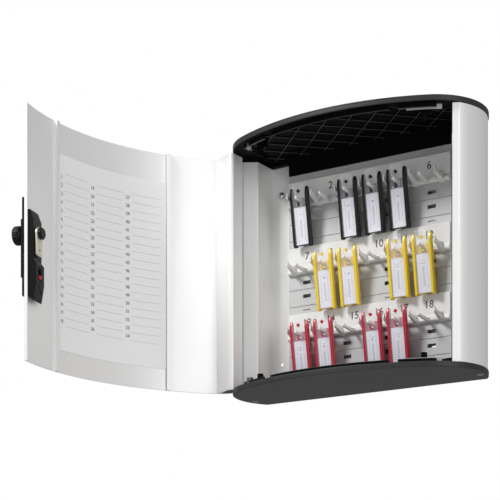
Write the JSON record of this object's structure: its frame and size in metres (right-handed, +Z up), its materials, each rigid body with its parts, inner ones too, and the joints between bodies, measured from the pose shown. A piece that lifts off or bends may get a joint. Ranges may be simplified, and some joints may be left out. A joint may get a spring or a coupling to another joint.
{
  "type": "key cabinet",
  "caption": "Wall-hung bow-fronted key cabinet: curved hinged door with combination lock, strips of numbered hooks, hanging key tags, aluminium side profiles and moulded end caps.",
  "frame": {"origin": "middle of the flat back skin of the back plate, where the cabinet rests on the wall", "axes": "+X to the right seen from the front, -Y out of the wall towards the front, +Z up; the door is drawn open"},
  "size_m": [0.406, 0.3201, 0.28],
  "materials": {
    "satin_aluminium": "satin anodised",
    "panel_aluminium": "fine matt, ribbed extrusion",
    "charcoal_plastic": "fine matt grain",
    "white_plastic": "smooth satin",
    "black_plastic": "satin",
    "grey_plastic": "satin",
    "red_lever_plastic": "satin",
    "black_tag_plastic": "smooth, slightly translucent",
    "yellow_tag_plastic": "smooth, slightly translucent",
    "red_tag_plastic": "smooth, slightly translucent",
    "clear_plastic": "clear moulded plastic",
    "printed_card": "matt printed card",
    "steel": "zinc plated",
    "brass": "dull plated"
  },
  "bodies": {
    "cabinet": {"back_plate": "panel_aluminium", "side_profile_left": "satin_aluminium", "side_profile_right": "satin_aluminium", "top_cap": "charcoal_plastic", "bottom_cap": "charcoal_plastic", "hook_strip_top": "white_plastic", "hook_strip_middle": "white_plastic", "hook_strip_bottom": "white_plastic", "cap_screw_top_left": "steel", "cap_screw_top_right": "steel", "cap_screw_bottom_left": "steel", "cap_screw_bottom_right": "steel", "plate_screw_left": "steel", "plate_screw_right": "steel", "lock_keeper": "steel", "catch_rail_top": "grey_plastic", "catch_rail_bottom": "grey_plastic", "hinge_pin_top": "steel", "hinge_pin_bottom": "steel"},
    "door": {"door_panel": "satin_aluminium", "post_plug_top": "black_plastic", "post_plug_bottom": "black_plastic", "lock_outer_plate": "black_plastic", "lock_housing": "black_plastic", "lock_inner_case": "black_plastic", "dial_axle": "steel"},
    "index": {"index_sheet": "printed_card", "index_cover": "clear_plastic"},
    "lock_turn": {"lock_knob": "black_plastic", "lock_cam": "brass", "cam_nut": "black_plastic"},
    "code_slide": {"code_lever": "red_lever_plastic"},
    "dial_1": {"dial_1": "grey_plastic"},
    "dial_2": {"dial_2": "grey_plastic"},
    "dial_3": {"dial_3": "grey_plastic"},
    "dial_4": {"dial_4": "grey_plastic"},
    "tag_01": {"tag_01_tray": "black_tag_plastic", "tag_01_cover": "clear_plastic"},
    "tag_03": {"tag_03_tray": "black_tag_plastic", "tag_03_cover": "clear_plastic"},
    "tag_04": {"tag_04_tray": "black_tag_plastic", "tag_04_cover": "clear_plastic"},
    "tag_05": {"tag_05_tray": "black_tag_plastic", "tag_05_cover": "clear_plastic"},
    "tag_08": {"tag_08_tray": "yellow_tag_plastic", "tag_08_cover": "clear_plastic"},
    "tag_09": {"tag_09_tray": "yellow_tag_plastic", "tag_09_cover": "clear_plastic"},
    "tag_11": {"tag_11_tray": "yellow_tag_plastic", "tag_11_cover": "clear_plastic"},
    "tag_12": {"tag_12_tray": "yellow_tag_plastic", "tag_12_cover": "clear_plastic"},
    "tag_13": {"tag_13_tray": "red_tag_plastic", "tag_13_cover": "clear_plastic"},
    "tag_14": {"tag_14_tray": "red_tag_plastic", "tag_14_cover": "clear_plastic"},
    "tag_16": {"tag_16_tray": "red_tag_plastic", "tag_16_cover": "clear_plastic"},
    "tag_17": {"tag_17_tray": "red_tag_plastic", "tag_17_cover": "clear_plastic"}
  },
  "joints": [
    {"name": "door_hinge", "type": "hinge", "parent": "cabinet", "child": "door", "pos_m": [-0.143, -0.0545, 0], "axis": [0, 0, -1], "range_deg": [-104.5, 40]},
    {"name": "index_slide", "type": "slide", "parent": "door", "child": "index", "axis": [0, 0, 1], "range_m": [0, 0.06]},
    {"name": "lock_turn", "type": "hinge", "parent": "door", "child": "lock_turn", "pos_m": [-0.23777, -0.30704, -0.0018], "axis": [-0.9681, -0.2504, 0], "range_deg": [0, 90]},
    {"name": "dial_1_turn", "type": "hinge", "parent": "door", "child": "dial_1", "pos_m": [-0.2366, -0.30674, -0.018], "axis": [0, 0, 1], "continuous": true},
    {"name": "dial_2_turn", "type": "hinge", "parent": "door", "child": "dial_2", "pos_m": [-0.2366, -0.30674, -0.0254], "axis": [0, 0, 1], "continuous": true},
    {"name": "dial_3_turn", "type": "hinge", "parent": "door", "child": "dial_3", "pos_m": [-0.2366, -0.30674, -0.0328], "axis": [0, 0, 1], "continuous": true},
    {"name": "dial_4_turn", "type": "hinge", "parent": "door", "child": "dial_4", "pos_m": [-0.2366, -0.30674, -0.0402], "axis": [0, 0, 1], "continuous": true},
    {"name": "code_lever_slide", "type": "slide", "parent": "door", "child": "code_slide", "axis": [0, 0, 1], "range_m": [0, 0.006]},
    {"name": "tag_01_lift", "type": "slide", "parent": "cabinet", "child": "tag_01", "axis": [0, -0.9563, 0.2924], "range_m": [0, 0.028]},
    {"name": "tag_03_lift", "type": "slide", "parent": "cabinet", "child": "tag_03", "axis": [0, -0.9563, 0.2924], "range_m": [0, 0.028]},
    {"name": "tag_04_lift", "type": "slide", "parent": "cabinet", "child": "tag_04", "axis": [0, -0.9563, 0.2924], "range_m": [0, 0.028]},
    {"name": "tag_05_lift", "type": "slide", "parent": "cabinet", "child": "tag_05", "axis": [0, -0.9563, 0.2924], "range_m": [0, 0.028]},
    {"name": "tag_08_lift", "type": "slide", "parent": "cabinet", "child": "tag_08", "axis": [0, -0.9563, 0.2924], "range_m": [0, 0.028]},
    {"name": "tag_09_lift", "type": "slide", "parent": "cabinet", "child": "tag_09", "axis": [0, -0.9563, 0.2924], "range_m": [0, 0.028]},
    {"name": "tag_11_lift", "type": "slide", "parent": "cabinet", "child": "tag_11", "axis": [0, -0.9563, 0.2924], "range_m": [0, 0.028]},
    {"name": "tag_12_lift", "type": "slide", "parent": "cabinet", "child": "tag_12", "axis": [0, -0.9563, 0.2924], "range_m": [0, 0.028]},
    {"name": "tag_13_lift", "type": "slide", "parent": "cabinet", "child": "tag_13", "axis": [0, -0.9563, 0.2924], "range_m": [0, 0.028]},
    {"name": "tag_14_lift", "type": "slide", "parent": "cabinet", "child": "tag_14", "axis": [0, -0.9563, 0.2924], "range_m": [0, 0.028]},
    {"name": "tag_16_lift", "type": "slide", "parent": "cabinet", "child": "tag_16", "axis": [0, -0.9563, 0.2924], "range_m": [0, 0.028]},
    {"name": "tag_17_lift", "type": "slide", "parent": "cabinet", "child": "tag_17", "axis": [0, -0.9563, 0.2924], "range_m": [0, 0.028]}
  ]
}
